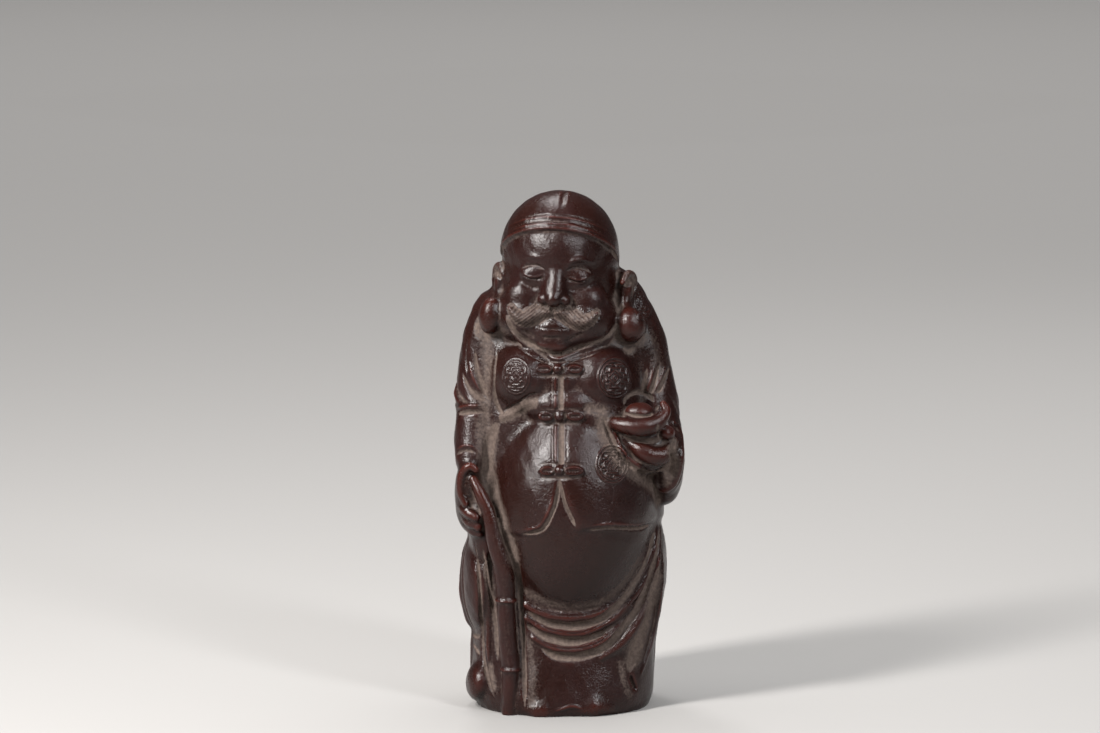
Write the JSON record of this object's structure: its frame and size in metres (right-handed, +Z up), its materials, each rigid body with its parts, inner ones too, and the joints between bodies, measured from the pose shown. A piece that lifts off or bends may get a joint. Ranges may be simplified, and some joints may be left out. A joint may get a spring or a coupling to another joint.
{
  "type": "tea pet figurine",
  "caption": "Standing old man in a round cap and a frogged jacket, leaning on a knotty cane and holding boat-shaped ingots, moulded in dark clay to stand on a tea tray",
  "frame": {"origin": "middle of the flat underside, on the surface that the figure stands on", "axes": "+Z up along the figure, -Y the way the figure faces, +X to the right of someone who looks at its front"},
  "size_m": [0.0532, 0.0427, 0.12],
  "materials": {
    "figure": "unglazed, burnished by handling, pale clay dust in the hollows"
  },
  "bodies": {
    "root": {"figure": "figure"}
  },
  "joints": []
}
